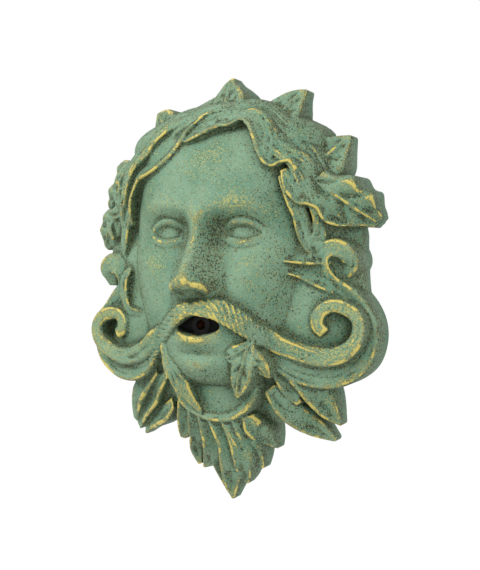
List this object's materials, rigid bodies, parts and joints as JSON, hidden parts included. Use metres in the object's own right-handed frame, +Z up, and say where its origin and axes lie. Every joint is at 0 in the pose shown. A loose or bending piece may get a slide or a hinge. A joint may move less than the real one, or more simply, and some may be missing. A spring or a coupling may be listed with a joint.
{
  "type": "wall fountain mask",
  "caption": "Cast wall fountain mask of a leaf-crowned, leaf-bearded head; water leaves the open mouth through a spout with a slotted ball valve, and it hangs on a keyhole bar.",
  "frame": {"origin": "centre of the hanging bar's back face, on the wall plane, level with the eyes", "axes": "+Z up, +Y into the wall, so the face looks along -Y and +X is at the viewer's right"},
  "size_m": [0.2381, 0.0982, 0.322],
  "materials": {
    "casting": "green patina with gold rubbed on the ridges",
    "copper": "plain copper",
    "brass": "turned",
    "steel": "zinc plated",
    "rubber": "moulded",
    "seat_plastic": "turned",
    "fibre": "pressed fibre"
  },
  "bodies": {
    "mask": {"mask_casting": "casting", "spout_pipe": "copper", "throat_bush": "rubber", "spout_gasket": "rubber", "spout_flange": "brass", "flange_screw_left": "steel", "flange_screw_right": "steel", "compression_nut": "brass", "compression_olive": "copper", "valve_body": "brass", "valve_seat_front": "seat_plastic", "valve_seat_rear": "seat_plastic", "stem_packing": "seat_plastic", "hose_tail": "brass", "tail_washer": "fibre", "hanger_bar": "steel", "hanger_screw_left": "steel", "hanger_screw_right": "steel"},
    "valve_core": {"valve_ball": "brass", "valve_stem": "brass"}
  },
  "joints": [
    {"name": "valve_turn", "type": "hinge", "parent": "mask", "child": "valve_core", "pos_m": [0, -0.0315, -0.065], "axis": [1, 0, 0], "range_deg": [0, 90]}
  ]
}
